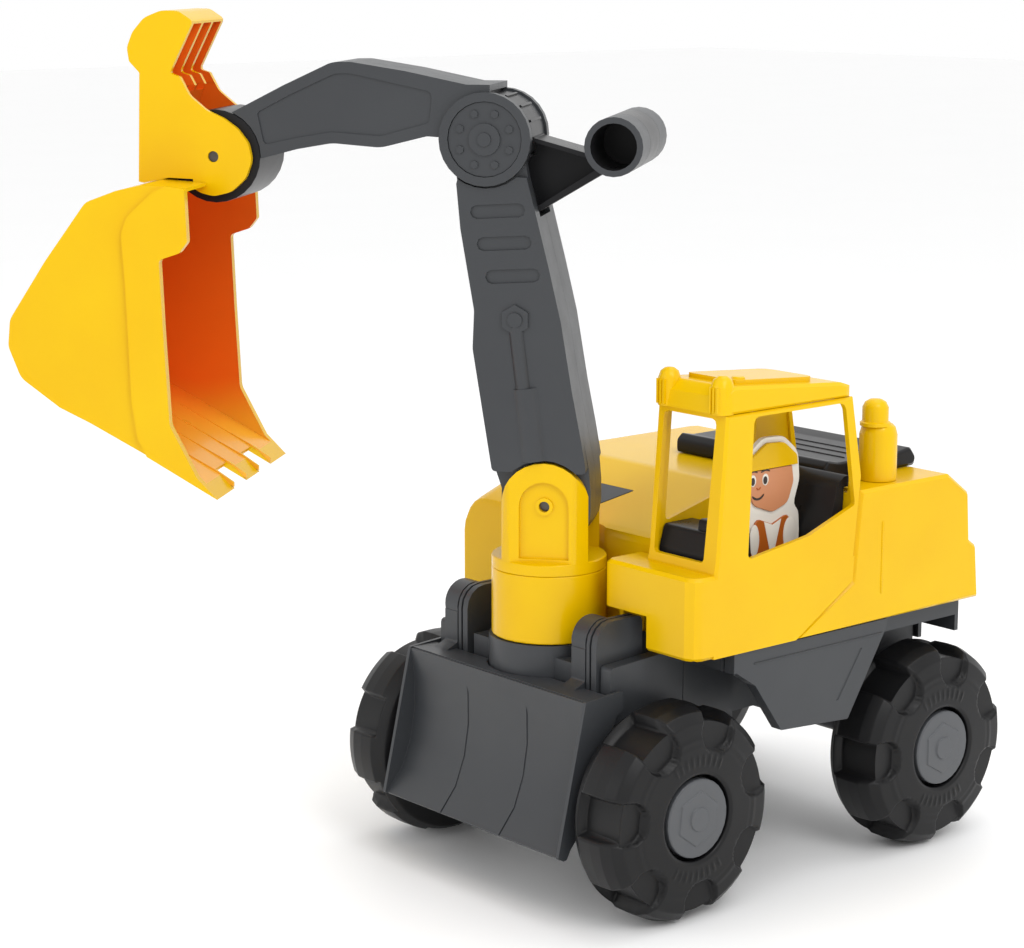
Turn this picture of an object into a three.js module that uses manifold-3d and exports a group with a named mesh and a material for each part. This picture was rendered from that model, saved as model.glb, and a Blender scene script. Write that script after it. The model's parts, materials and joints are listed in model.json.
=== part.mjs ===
// Ride-on digger: a child sits on the rear saddle and works the boom, arm and bucket by hand.
// Millimetres, +X forward, +Y to the digger's left, +Z up, wheels standing on z = 0.
import * as THREE from "three";
import { mergeVertices } from "three/addons/utils/BufferGeometryUtils.js";
import Module from "manifold-3d";

const wasm = await Module();
wasm.setup();

// ---------------------------------------------------------------- driving dimensions
const WHEEL_R = 80;          // tyre radius, also the axle height
const WHEEL_HALF_W = 26.2;   // half the tyre width
const TRACK_HALF = 132.5;    // wheel centre plane from the middle of the digger
const FRONT_X = 32;          // front axle
const REAR_X = -232;         // rear axle
const AXLE_R = 5;
const POCKETS = 7;           // lug pockets round each tyre
const BODY_HALF_W = 151;
const BODY_Z = 191.3;        // lower edge of the yellow body
const DECK_Z = 294;
const CAB_Y0 = 79;           // the cab stands on the left, from here to the body side
const MAST_X = 34;           // swing axis of the boom
const SLEEVE_R = 43;
const SWING_REST = THREE.MathUtils.degToRad(-51.2);
const BOOM_PIVOT = [-2, 288.5];   // [along the boom plane, height]
const ARM_PIVOT = [41, 555];
const BUCKET_PIVOT = [242, 540];
const HANDLE = [-55.7, 552.7];
const BOOM_HALF = 35;        // half thickness of the boom's wide part
const TONGUE_HALF = 25.2;    // half thickness of the boom between the clevis cheeks
const CLEVIS_HALF = 35;
const ARM_HALF = 33;
const ARM_RING_HALF = 38;
const EAR_HALF = 38.5;       // half width of the bucket's carrier
const MOUTH_HALF = 33.8;     // half width of the room between its two ears
const BUCKET_HALF = 88;
const BLADE_HALF = 102.2;
const BLADE_PIVOT = [46, 196];    // [x, height]
const EAR_Y = [58, -88];     // where the blade's two lugs start

// ---------------------------------------------------------------- materials
const paint = (color, roughness, metalness = 0) => ({ color, roughness, metalness });
const YELLOW = paint(0xe8c800, 0.25);
const GREY = paint(0x55585b, 0.42);
const BLACK = paint(0x17181a, 0.22);
const TYRE = paint(0x2c2c2e, 0.6);
const CAP_GREY = paint(0x6e7176, 0.45);
const STEEL = paint(0xb4b6b8, 0.3, 1);
const WHITE = paint(0xf2efe6, 0.5);
const SKIN = paint(0xd9956c, 0.5);
const VEST = paint(0xc96a1c, 0.5);

// ---------------------------------------------------------------- solids
function solid(geometry) {
  const g = geometry.clone();
  g.deleteAttribute("normal");
  g.deleteAttribute("uv");
  const merged = mergeVertices(g, 1e-4);
  const tri = new Uint32Array(merged.index.array);
  const build = () =>
    new wasm.Manifold(
      new wasm.Mesh({ numProp: 3, vertProperties: merged.attributes.position.array, triVerts: tri }),
    );
  let made = build();
  if (made.volume() < 0) {
    for (let i = 0; i < tri.length; i += 3) [tri[i + 1], tri[i + 2]] = [tri[i + 2], tri[i + 1]];
    made = build();
  }
  return made;
}

const join = (...list) => list.reduce((a, b) => a.add(b));
const cut = (first, ...list) => list.reduce((a, b) => a.subtract(b), first);

// Corners given as [x, y, radius] become short arcs; [x, y] stays sharp.
function outline(points) {
  const out = [];
  const n = points.length;
  points.forEach(([x, y, r], i) => {
    if (!r) {
      out.push(new THREE.Vector2(x, y));
      return;
    }
    const p = new THREE.Vector2(x, y);
    const a = new THREE.Vector2(...points[(i + n - 1) % n].slice(0, 2)).sub(p).normalize();
    const b = new THREE.Vector2(...points[(i + 1) % n].slice(0, 2)).sub(p).normalize();
    const half = Math.acos(THREE.MathUtils.clamp(a.dot(b), -1, 1)) / 2;
    const reach = r / Math.tan(half);
    const start = p.clone().addScaledVector(a, reach);
    const end = p.clone().addScaledVector(b, reach);
    const centre = p.clone().addScaledVector(a.clone().add(b).normalize(), r / Math.sin(half));
    const a0 = Math.atan2(start.y - centre.y, start.x - centre.x);
    let da = Math.atan2(end.y - centre.y, end.x - centre.x) - a0;
    if (da > Math.PI) da -= 2 * Math.PI;
    if (da < -Math.PI) da += 2 * Math.PI;
    const steps = THREE.MathUtils.clamp(Math.ceil(r / 5), 2, 5);
    for (let k = 0; k <= steps; k++) {
      const t = a0 + (da * k) / steps;
      out.push(new THREE.Vector2(centre.x + r * Math.cos(t), centre.y + r * Math.sin(t)));
    }
  });
  return new THREE.Shape(out);
}

function extrude(points, depth, bevel) {
  const g = new THREE.ExtrudeGeometry(outline(points), {
    depth: depth - 2 * bevel,
    bevelEnabled: bevel > 0,
    bevelThickness: bevel,
    bevelSize: bevel,
    bevelOffset: -bevel,
    bevelSegments: 1,
    curveSegments: 8,
  });
  return g.translate(0, 0, bevel);
}

// Prisms: profile in XZ pushed along Y, in XY pushed along Z, in YZ pushed along X.
const alongY = (points, y0, y1, bevel = 0) =>
  solid(extrude(points, y1 - y0, bevel).rotateX(Math.PI / 2).translate(0, y1, 0));
const alongZ = (points, z0, z1, bevel = 0) =>
  solid(extrude(points, z1 - z0, bevel).translate(0, 0, z0));
const ontoX = new THREE.Matrix4().makeBasis(
  new THREE.Vector3(0, 1, 0), new THREE.Vector3(0, 0, 1), new THREE.Vector3(1, 0, 0));
const alongX = (points, x0, x1, bevel = 0) =>
  solid(extrude(points, x1 - x0, bevel).applyMatrix4(ontoX).translate(x0, 0, 0));
const block = (x0, x1, y0, y1, z0, z1) =>
  solid(new THREE.BoxGeometry(x1 - x0, y1 - y0, z1 - z0)
    .translate((x0 + x1) / 2, (y0 + y1) / 2, (z0 + z1) / 2));
const rodY = (x, z, r, y0, y1, sides = 20) =>
  solid(new THREE.CylinderGeometry(r, r, y1 - y0, sides).translate(x, (y0 + y1) / 2, z));
const rodZ = (x, y, r, z0, z1, sides = 24) =>
  solid(new THREE.CylinderGeometry(r, r, z1 - z0, sides)
    .rotateX(Math.PI / 2).translate(x, y, (z0 + z1) / 2));
const turnedY = (profile, sides) =>
  solid(new THREE.LatheGeometry(profile.map(([r, y]) => new THREE.Vector2(r, y)), sides));
const turnedZ = (profile, sides, x, y) =>
  solid(new THREE.LatheGeometry(profile.map(([r, z]) => new THREE.Vector2(r, z)), sides)
    .rotateX(Math.PI / 2).translate(x, y, 0));

// A skin through matching rings of points, closed by a fan at each end.
function loft(rings) {
  const n = rings[0].length;
  const pos = rings.flat(2);
  const index = [];
  for (let i = 0; i + 1 < rings.length; i++) {
    for (let k = 0; k < n; k++) {
      const a = i * n + k;
      const b = i * n + ((k + 1) % n);
      index.push(a, b, b + n, a, b + n, a + n);
    }
  }
  const last = (rings.length - 1) * n;
  for (let k = 1; k + 1 < n; k++) {
    index.push(0, k + 1, k);
    index.push(last, last + k, last + k + 1);
  }
  const g = new THREE.BufferGeometry();
  g.setAttribute("position", new THREE.Float32BufferAttribute(pos, 3));
  g.setIndex(index);
  return solid(g);
}

// An arch: straight sides down to z0 and a half circle of radius r about [x, z] on top.
function arch(x, z, r, z0, n = 14) {
  const top = [...Array(n + 1).keys()].map((i) => {
    const a = (Math.PI * i) / n;
    return [x + r * Math.cos(a), z + r * Math.sin(a)];
  });
  return [...top, [x - r, z0], [x + r, z0]];
}

const root = new THREE.Group();
root.name = "ride_on_digger";
const digger = new THREE.Group();   // everything in the digger's own frame
const boomSide = new THREE.Group(); // the boom plane, swung about the mast
boomSide.position.set(MAST_X, 0, 0);
boomSide.rotation.z = SWING_REST;
digger.add(boomSide);
root.add(digger);

function piece(name, s, look, parent = digger) {
  const m = s.getMesh();
  const g = new THREE.BufferGeometry();
  const v = new Float32Array(m.numVert * 3);
  for (let i = 0; i < m.numVert; i++) {
    v.set(m.vertProperties.subarray(i * m.numProp, i * m.numProp + 3), i * 3);
  }
  g.setAttribute("position", new THREE.BufferAttribute(v, 3));
  g.setIndex(new THREE.BufferAttribute(new Uint32Array(m.triVerts), 1));
  const flat = g.toNonIndexed();
  flat.computeVertexNormals();
  const mesh = new THREE.Mesh(flat, new THREE.MeshStandardMaterial(look));
  mesh.name = name;
  parent.add(mesh);
  return mesh;
}

// ---------------------------------------------------------------- wheels and axles
function tyreSolid() {
  // Radius and distance outwards from the wheel's middle. The shell is open round the hub at the back.
  const back = -WHEEL_HALF_W;
  let s = turnedY([
    [5.1, back - 1], [12, back - 1], [12, 12], [58, 12], [65.6, 5], [65.6, -17], [40, -21.6], [40, back],
    [62, back], [75.5, -20.5], [WHEEL_R, -3], [WHEEL_R, 3], [77, 17.5], [70, 24.4], [34, 27.8],
    [31.8, 26.4], [31.8, 16], [5.1, 16], [5.1, back - 1],
  ], 21);
  for (let i = 0; i < POCKETS; i++) {
    const turn = (2 * Math.PI * i) / POCKETS;
    const tread = new THREE.BoxGeometry(20, 50, 31).translate(81.2, 12, 0);
    const lobe = new THREE.CylinderGeometry(15.5, 15.5, 20, 10).translate(64.5, 31, 0);
    const run = new THREE.BoxGeometry(25, 20, 31).translate(77, 31, 0);
    for (const g of [tread, lobe, run]) s = s.subtract(solid(g.rotateY(-turn)));
  }
  return s;
}

function hubCapSolid() {
  const disc = turnedY([
    [0, 23.6], [15, 23.6], [15, 17], [29.2, 17], [29.2, 26.6], [28, 27.6], [0, 27.6],
  ], 28);
  const hex = solid(new THREE.CylinderGeometry(20.2, 20.8, 1.4, 6).translate(0, 28, 0));
  const boss = solid(new THREE.CylinderGeometry(8.6, 9.2, 1.6, 16).translate(0, 29.2, 0));
  return join(disc, hex, boss);
}

const tyre = tyreSolid();
const hubCap = hubCapSolid();
const CORNERS = [
  ["front_left", FRONT_X, 1, 7],
  ["front_right", FRONT_X, -1, 20],
  ["rear_left", REAR_X, 1, 0],
  ["rear_right", REAR_X, -1, 33],
];
for (const [corner, x, side, phase] of CORNERS) {
  const set = new THREE.Group();
  set.position.set(x, side * TRACK_HALF, WHEEL_R);
  set.rotation.set(0, THREE.MathUtils.degToRad(-phase), side > 0 ? 0 : Math.PI, "ZYX");
  digger.add(set);
  piece("tyre_" + corner, tyre, TYRE, set);
  piece("hub_cap_" + corner, hubCap, CAP_GREY, set);
}
for (const [end, x] of [["front", FRONT_X], ["rear", REAR_X]]) {
  piece("axle_" + end, rodY(x, WHEEL_R, AXLE_R, -TRACK_HALF - 20, TRACK_HALF + 20), STEEL);
  for (const [word, side] of [["left", 1], ["right", -1]]) {
    const y = side * (TRACK_HALF + 17.6);
    const ring = cut(rodY(x, WHEEL_R, 10.5, y - 1, y + 1), rodY(x, WHEEL_R, AXLE_R + 0.06, y - 5, y + 5));
    piece("axle_clip_" + end + "_" + word, ring, STEEL);
  }
}

// ---------------------------------------------------------------- chassis
const FRAME_HALF = 97;
function chassisSolid() {
  const top = BODY_Z - 0.7;
  const outer = join(
    alongY([[-64, 114], [-54, 106, 8], [-30, 64], [-10, 52, 12], [46, 52, 14], [46, 129], [-12.6, 129],
      [-12.6, top], [-64, top]], -FRAME_HALF, FRAME_HALF),
    alongY([[-195, 122, 6], [-60, 122], [-60, top], [-195, top]], -84, 84),
    alongY([[-266, 96, 10], [-250, 56, 12], [-214, 56, 12], [-190, 110, 6], [-190, top], [-266, top]],
      -FRAME_HALF, FRAME_HALF),
    block(-273, -12.6, -137, 137, 176, top),
    block(-273, -269, -137, 137, 163, top),
    block(-273, -269, -100, 100, 150, top),
  );
  const inner = join(
    alongY([[-60, 90], [-27, 40], [42, 40], [42, 125], [-16.6, 125], [-16.6, 186.6], [-60, 186.6]],
      -FRAME_HALF + 4, FRAME_HALF - 4),
    alongY([[-194, 110], [-62, 110], [-62, 186.6], [-194, 186.6]], -80, 80),
    alongY([[-262, 40], [-194, 40], [-194, 186.6], [-262, 186.6]], -FRAME_HALF + 4, FRAME_HALF - 4),
    block(-269, -20, 101, 133, 170, 186.6),
    block(-269, -20, -133, -101, 170, 186.6),
  );
  const tubes = join(
    rodY(FRONT_X, WHEEL_R, 11, -TRACK_HALF + 28.6, TRACK_HALF - 28.6),
    rodY(REAR_X, WHEEL_R, 11, -TRACK_HALF + 28.6, TRACK_HALF - 28.6),
  );
  const bore = AXLE_R + 0.06;
  return cut(
    join(cut(outer, inner), tubes),
    rodY(FRONT_X, WHEEL_R, bore, -TRACK_HALF, TRACK_HALF),
    rodY(REAR_X, WHEEL_R, bore, -TRACK_HALF, TRACK_HALF),
  );
}
piece("chassis_frame", chassisSolid(), GREY);

for (const [word, side] of [["left", 1], ["right", -1]]) {
  const y0 = side > 0 ? 138 : -148;
  const plate = alongY([[-14, 175], [-14, 190.4], [-178, 190.4], [-176, 182], [-136, 119, 2], [-64, 124, 2],
    [-36, 163, 2], [-16, 176]], y0, y0 + 10);
  const outerY = side > 0 ? 147.2 : -149.2;
  const groove = alongY([[-150, 172], [-147.6, 172], [-122.6, 136], [-125, 136]], outerY, outerY + 2);
  piece("side_skirt_" + word, cut(plate, groove), GREY);
}

// The front carrier holds the mast post and the two ears that the blade hangs from.
function carrierSolid() {
  const ears = EAR_Y.map((y0) => {
    const arch = [[63, 150], [63, 213, 16.9], [18, 213, 4], [18, 150]];
    const slim = [[60.5, 150], [60.5, 210.5, 14], [20, 210.5, 3], [20, 150]];
    return join(
      alongY(arch, y0 + 16.4, y0 + 19.6),
      alongY(slim, y0 + 18, y0 + 24),
      alongY(arch, y0 + 21.6, y0 + 27),
      block(15, 27.5, y0, y0 + 17, 150, 204),
    );
  });
  const spigot = rodZ(MAST_X, 0, 35, 180, 235.6, 28);
  const post = rodZ(MAST_X, 0, 45, 132, 186.4, 28);
  const beams = join(
    block(-12, 46, -FRAME_HALF, FRAME_HALF, 129.6, 172),
    block(20, 60, -57, 57, 140, 178),
    alongY([[-12, 140], [60, 140], [60, 182, 3], [-12, 186, 3]], 86.4, FRAME_HALF),
    alongY([[-12, 140], [60, 140], [60, 182, 3], [-12, 186, 3]], -FRAME_HALF, -89),
  );
  const lugRoom = EAR_Y.map((y0) => block(28, 70, y0 - 0.6, y0 + 15.7, 120, 230));
  let s = join(beams, post, ...ears);
  s = cut(s, ...lugRoom.map((room) => room.subtract(rodZ(MAST_X, 0, 45.4, 100, 240, 28))));
  s = join(s, spigot);
  s = cut(s, rodZ(MAST_X, 0, 4.06, 196, 240, 24), rodZ(MAST_X, 0, 31, 120, 190, 32));
  for (const y0 of EAR_Y) {
    s = s.subtract(rodY(BLADE_PIVOT[0], BLADE_PIVOT[1], 4.06, y0 + 16, y0 + 26));
  }
  return s;
}
piece("front_carrier", carrierSolid(), GREY);

// ---------------------------------------------------------------- dozer blade
function bladeSolid() {
  const face = [[88, 162.5], [84.6, 140], [84.4, 116], [88.4, 92], [97, 70], [112, 52.3]];
  const back = [[108.6, 49.8], [93.4, 67], [84.6, 90.4], [80.8, 116], [81, 140], [84, 162.5]];
  let s = alongY([...face, ...back], -BLADE_HALF, BLADE_HALF);
  for (const y of [-BLADE_HALF, BLADE_HALF - 3]) {
    s = s.add(alongY([[88, 163.4, 1], [114, 52.3, 1], [106, 49.6, 2], [84, 92, 20], [58, 148], [52, 151, 2],
      [52, 165.6, 2]], y, y + 3));
  }
  const flange = block(64, 86, -BLADE_HALF + 1, BLADE_HALF - 1, 160.5, 163.4);
  s = s.add(flange.subtract(rodZ(MAST_X, 0, 46.5, 150, 170, 28)));
  for (const y of [-34, 34]) {
    s = s.subtract(alongY([[90, 164], [83.9, 140], [83.7, 116], [87.7, 92], [96.4, 69.4], [112, 50], [130, 50],
      [130, 164]], y - 0.8, y + 0.8));
  }
  for (const y0 of EAR_Y) {
    const [px, pz] = BLADE_PIVOT;
    const arm = alongY([[63, pz - 4], [63, 168, 2], [82, 160], [83, 112], [78, 108, 2], [60, 138, 4],
      [47.5, 150, 3], [47.5, pz - 8], [52, pz]], y0, y0 + 15);
    const lug = solid(new THREE.CylinderGeometry(17, 17, 15, 32).translate(px, y0 + 7.5, pz));
    s = join(s, arm, lug).subtract(rodY(px, pz, 4.1, y0 - 1, y0 + 16));
  }
  return s;
}
piece("dozer_blade", bladeSolid(), GREY);
for (const [word, y0] of [["left", EAR_Y[0]], ["right", EAR_Y[1]]]) {
  piece("blade_pin_" + word, rodY(BLADE_PIVOT[0], BLADE_PIVOT[1], 4, y0 + 1.5, y0 + 25.5), STEEL);
}

// ---------------------------------------------------------------- yellow body
// A cross-section of the hood at one x, with its top corner on the right rounded over.
function hoodRing(x, zTop, yRight, yLeft, r, z0 = BODY_Z) {
  const ring = [[x, yLeft, z0], [x, yRight, z0]];
  for (let k = 0; k <= 5; k++) {
    const t = (Math.PI / 2) * (k / 5);
    ring.push([x, yRight + r - r * Math.cos(t), zTop - r + r * Math.sin(t)]);
  }
  ring.push([x, yLeft, zTop]);
  return ring;
}

function bodySolid() {
  const right = -BODY_HALF_W;
  const left = CAB_Y0 - 0.4;
  const hood = loft([
    hoodRing(-8, 257, right, left, 24),
    hoodRing(-10, 262, right, left, 25),
    hoodRing(-16, 265.4, right, left, 26),
    hoodRing(-87, 292.6, right, left, 27),
    hoodRing(-93, DECK_Z, right, left, 27),
    hoodRing(-240, DECK_Z, right, left, 27),
    hoodRing(-265, 277, right, left, 27),
    hoodRing(-268, 240, right, left, 25),
    hoodRing(-270.5, 237, right, left, 22),
    hoodRing(-276, 233, right, left, 18),
    hoodRing(-280, 215, right, left, 6),
  ]);
  const tail = alongY([[-280, BODY_Z], [-276, 233, 3], [-268, 238.5, 2], [-265, 276.5, 3], [-241, DECK_Z, 3],
    [-142.1, DECK_Z], [-140.5, 284], [-134.8, 226], [-76, BODY_Z]], left - 1, BODY_HALF_W, 2.5);
  const base = block(-280, -264, right, left, BODY_Z, 214);
  const hollow = join(
    loft([
      hoodRing(-13, 258, right + 4, left - 4, 22, 180),
      hoodRing(-90, 289, right + 4, left - 4, 23, 180),
      hoodRing(-238, 289.6, right + 4, left - 4, 23, 180),
      hoodRing(-261, 274, right + 4, left - 4, 23, 180),
      hoodRing(-264, 220, right + 4, left - 4, 20, 180),
    ]),
    alongY([[-264, 180], [-261, 273], [-239, 289.6], [-146.5, 289.6], [-144.5, 284], [-139, 228], [-84, 192],
      [-84, 180]], left - 6, BODY_HALF_W - 4),
  );
  let s = cut(join(hood, tail, base), hollow);
  const notchWall = rodZ(MAST_X, 0, 50.5, BODY_Z, 300, 28).intersect(hood);
  s = join(s, notchWall);
  const vent = ventOutline(1);
  return cut(s, rodZ(MAST_X, 0, 46.5, 180, 320, 28), slopedPlate(vent, -1.8, 8));
}

// The vent lies on the hood's slope, so its plate is made flat and tilted about the slope's top edge.
const HOOD_TILT = Math.atan2(292.6 - 265.4, 87 - 16);
function ventOutline(grow) {
  return [[-54 - grow, -6 + grow, 1], [-22 + grow, -23 + grow, 1], [-22 + grow, -81 - grow, 1],
    [-54 - grow, -98 - grow, 1]];
}
function slopedPlate(points, t0, t1) {
  const g = extrude(points, t1 - t0, 0).translate(87, 0, t0);
  return solid(g.rotateY(HOOD_TILT).translate(-87, 0, 292.6));
}
piece("body_shell", bodySolid(), YELLOW);
piece("hood_vent", slopedPlate(ventOutline(0.6), -1.5, 0.4), GREY);

function cabSolid() {
  const top = 366;
  const left = BODY_HALF_W;
  const wing = alongZ([[-7.6, 56], [30, 56, 6], [30, left, 10], [-7.6, left]], BODY_Z, 252, 2.5);
  const shell = alongY([[-74.6, BODY_Z], [-8, BODY_Z], [9, 240], [9, 254], [7.4, 262], [-0.5, top], [-131, top],
    [-142.2, 306, 3], [-139.7, 284], [-134, 226.4]], CAB_Y0, left, 2);
  const side = alongY([[-74.6, BODY_Z], [10, BODY_Z], [10, 246], [-135.6, 246], [-134, 226.6]], 100, left);
  const room = alongY([[-86, 180], [26, 180], [26, 246], [5.6, 248], [3.4, 262], [-4, 360], [-7, 380], [-126, 380],
    [-137, 306], [-135, 284], [-130, 228], [-86, 201]], CAB_Y0 + 3.6, left - 4);
  const wingRoom = block(-12, 26, 60, 100, 180, 247);
  const screen = alongX([[85.4, 259, 3], [136.6, 259, 3], [140, 362.6, 4], [86.4, 362.6, 4]], -20, 24);
  const sideWindow = alongY([[-23, 259.4, 3], [-86.4, 268], [-134.6, 284.6, 3], [-121.6, 362.6, 6], [-27, 362.6, 5]],
    left - 12, left + 6);
  const rightWindow = alongY([[-6, 279, 3], [-57, 292], [-97, 300, 3], [-100, 362.6, 3], [-12, 362.6, 3]],
    CAB_Y0 - 4, CAB_Y0 + 8);
  const rearGap = alongX([[CAB_Y0 + 6, 292], [left - 9, 292], [left - 9, 362.6, 3], [CAB_Y0 + 6, 362.6, 3]], -150, -118);
  const post = block(-34, 6, left - 11, left - 3, 200, top);
  let s = cut(join(wing, shell, side), room, wingRoom);
  const postShape = alongY([[7.2, 262], [-0.5, top], [-27, top], [-27, 240], [7.2, 240]], left - 12, left - 2);
  s = join(s, post.intersect(postShape));
  s = cut(s, screen, sideWindow, rightWindow, rearGap);
  return cut(s, block(13.5, 40, 52, 102, 180, 217), block(-140, 8, CAB_Y0 - 1, 84, 180, 200));
}
piece("cab_shell", cabSolid(), YELLOW);

function roofSolid() {
  const plan = [[3, 79, 8], [3, 151, 8], [-133, 151, 12], [-133, 79, 12]];
  const side = [[3.4, 366.4], [1.5, 379, 3], [-6, 386.5, 3], [-118, 378, 10], [-130, 374, 6], [-134, 366.4]];
  const cap = alongZ(plan, 366.4, 392, 0).intersect(alongY(side, 79, 151, 2.4));
  const panel = alongZ([[-18, 90, 5], [-18, 140, 5], [-100, 140, 8], [-100, 90, 8]], 376, 392, 2)
    .intersect(alongY([[0, 370], [0, 390], [-110, 382.4], [-110, 370]], 80, 150));
  let s = join(cap, panel);
  for (const y of [88, 142]) {
    s = s.add(turnedZ([[0, 366.4], [8.4, 366.4], [8.4, 386], [6.6, 391], [3.4, 393.4], [0, 393.8]], 20, -3.6, y));
    for (const dy of [-3.4, 0, 3.4]) s = s.add(block(3.6, 5.6, y + dy - 0.8, y + dy + 0.8, 368, 386));
  }
  const oval = turnedZ([[0, 380], [5, 380], [5, 388.6], [4, 389.6], [0, 389.8]], 20, -29, 132);
  s = join(s, oval);
  return s.subtract(block(-126, -6, 84, 146, 360, 372));
}
piece("cab_roof", roofSolid(), YELLOW);

piece("exhaust_stack", join(
  turnedZ([[0, DECK_Z + 0.3], [14.5, DECK_Z + 0.3], [14.5, 329], [13, 334.5], [10.5, 337], [0, 337]], 20, -184, 128),
  turnedZ([[0, 336], [11.6, 336], [11.6, 338.6], [10, 339.4], [10, 350], [8, 354], [4.6, 356], [0, 356.4]],
    18, -180, 128),
), YELLOW);

// ---------------------------------------------------------------- black seat and cab inside
const seatSide = [[-142.6, DECK_Z + 0.4], [-142.6, 305, 4], [-148, 309.6, 3], [-160, 307, 20], [-226, 307, 20],
  [-241, 309.6, 4], [-247, 302, 3], [-247, DECK_Z + 0.4]];
piece("ride_seat", alongY(seatSide, -50, 112, 2.5), BLACK);
piece("cab_interior", join(
  alongY([[-124, 230.4], [-119.4, 262, 10], [-127, 298, 12], [-140.6, 308.6, 4], [-141.6, 296],
    [-134.6, 296], [-134, 284], [-129, 230.4]], 86.4, 139.4),
  alongY([[2, 232], [-30, 236], [-129, 232], [-129, 229], [2, 229]], 84, 139.4),
  alongY([[1.6, 230], [0.4, 262, 2], [-4, 278, 3], [-36, 278, 4], [-40, 230]], 84, 139.4),
  alongY([[-6, 270], [-8, 286, 3], [-34, 284, 3], [-36, 270]], 116, 139.4),
), BLACK);

// The driver is a flat printed figure: a white plate with thin raised layers.
const FIG_Y = 110;
piece("driver_plate", alongY([[-58, 240], [-118, 240], [-118.6, 262, 8], [-117.6, 276, 8], [-112, 282, 6], [-118, 300, 16],
  [-116, 322, 14], [-100, 335, 14], [-78, 336, 14], [-60, 322, 14], [-56, 300, 14], [-66, 283, 6], [-54, 262, 6]],
  FIG_Y - 4, FIG_Y), WHITE);
piece("driver_face", alongY([[-66, 312], [-62, 300, 8], [-68, 286, 9], [-88, 279, 9], [-104, 284, 8], [-110, 300, 8],
  [-108, 312]], FIG_Y + 0.1, FIG_Y + 1.7), SKIN);
piece("driver_helmet", alongY([[-58, 312.6], [-64, 322, 9], [-80, 332, 10], [-98, 331, 10], [-112, 320, 5],
  [-113, 312.6]], FIG_Y + 0.1, FIG_Y + 3), YELLOW);
piece("driver_vest", alongY([[-64, 242], [-112, 242], [-112, 262, 3], [-104, 276, 4], [-88, 270, 3], [-72, 276, 4],
  [-64, 262, 3]], FIG_Y + 0.1, FIG_Y + 1.7), VEST);

// ---------------------------------------------------------------- mast: sleeve and clevis
const sleeve = cut(
  rodZ(0, 0, SLEEVE_R, 186.9, 238, 28),
  rodZ(0, 0, 35.7, 180, 240, 28),
  block(40, 46, -3, 3, 180, 189),
);
piece("mast_sleeve", sleeve, YELLOW, boomSide);

function clevisSolid() {
  const [ps, pz] = BOOM_PIVOT;
  const base = turnedZ([[0, 238.4], [SLEEVE_R, 238.4], [SLEEVE_R, 246], [SLEEVE_R - 1, 247], [0, 247]], 28, 0, 0);
  let s = base;
  const cheek = arch(ps, pz, 32.5, 243, 14);
  const panel = arch(ps, pz, 18.5, 249.5, 10);
  const reach = rodZ(0, 0, SLEEVE_R - 0.6, 240, 330, 28);
  for (const side of [1, -1]) {
    const h = (a, b) => (side > 0 ? [a, b] : [-b, -a]);
    s = s.add(alongY(cheek, ...h(25.7, CLEVIS_HALF)).intersect(reach));
    s = s.subtract(alongY(panel, ...h(CLEVIS_HALF - 3.4, CLEVIS_HALF + 5)));
    s = s.add(rodY(ps, pz, 6.6, ...h(CLEVIS_HALF - 5, CLEVIS_HALF - 1.6)));
  }
  return cut(s, rodY(ps, pz, 4.06, -50, 50), rodZ(0, 0, 4.6, 230, 250, 24));
}
piece("turret_clevis", clevisSolid(), YELLOW, boomSide);
piece("boom_pin", rodY(...BOOM_PIVOT, 4, -29, 29), STEEL, boomSide);
piece("swing_bolt", join(rodZ(MAST_X, 0, 4, 200, 248, 24), rodZ(MAST_X, 0, 9, 247.4, 252, 6)), STEEL);

// ---------------------------------------------------------------- boom halves
const boomWide = [[-33.6, 314, 3], [-29, 340.7], [-22.4, 375], [-14.3, 424.5], [-5.4, 463.3], [4.3, 502.6],
  [11, 528], [60, 531], [62.2, 523], [59.3, 490.6], [54.4, 460.8], [49.4, 432, 20], [50.6, 404, 20], [36.4, 314, 3]];
const boomCore = [[-35, 300], [-33.6, 316], [-29, 340.7], [-22.4, 375], [36, 375], [36.4, 316], [31, 300],
  [31, 258, 26], [-35, 258, 26]];

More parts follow.
